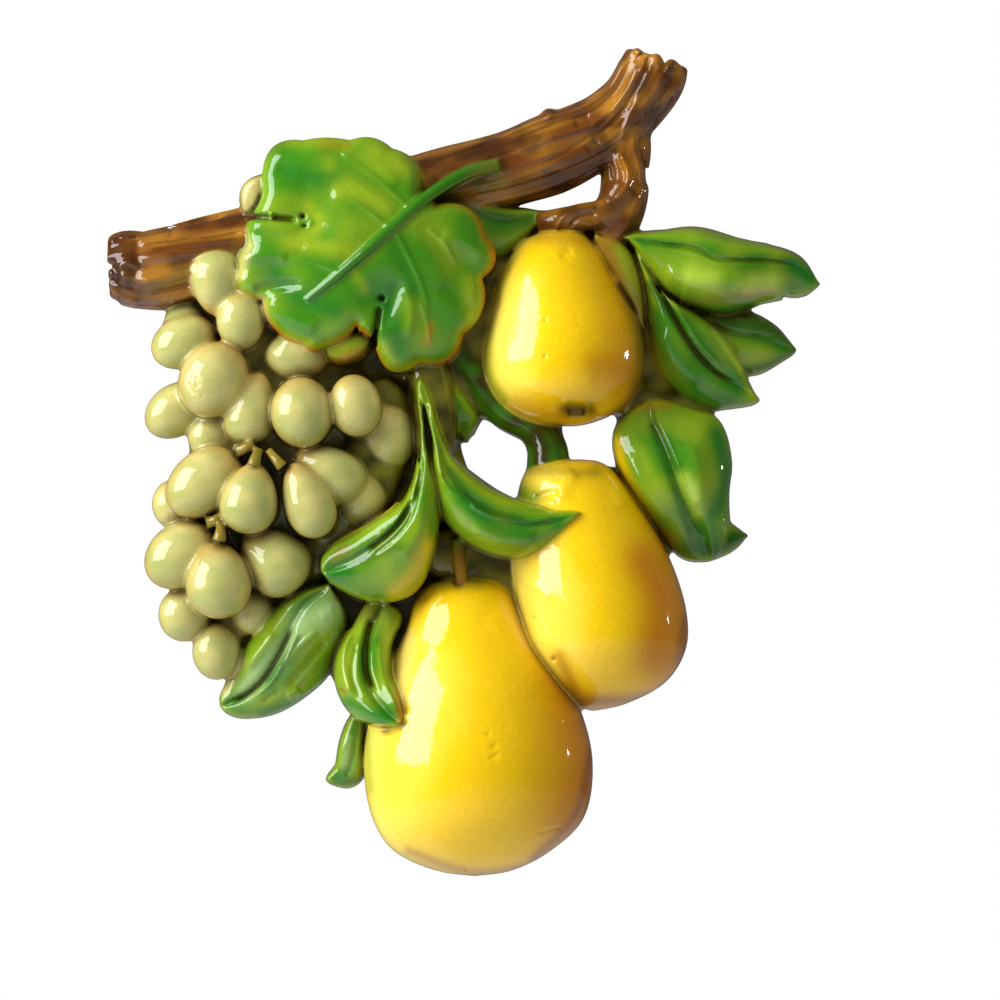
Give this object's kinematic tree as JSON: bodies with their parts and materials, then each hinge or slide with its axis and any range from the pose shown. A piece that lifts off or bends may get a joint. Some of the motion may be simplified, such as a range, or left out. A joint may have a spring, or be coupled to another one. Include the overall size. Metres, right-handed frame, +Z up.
{
  "type": "decorative wall plaque",
  "caption": "Relief wall plaque of a vine leaf, a bunch of grapes and pears hanging from a branch, cast in one piece of painted, lacquered plaster with a flat back.",
  "frame": {"origin": "the point of the flat back, behind the branch, where the plaque hangs on the wall", "axes": "+Z up, +Y into the wall, so the relief faces -Y, and +X to the viewer's right"},
  "size_m": [0.2619, 0.0578, 0.3042],
  "materials": {
    "painted_plaster": "airbrushed yellows and greens on cast plaster under a thick gloss lacquer"
  },
  "bodies": {
    "root": {"plaque": "painted_plaster"}
  },
  "joints": []
}
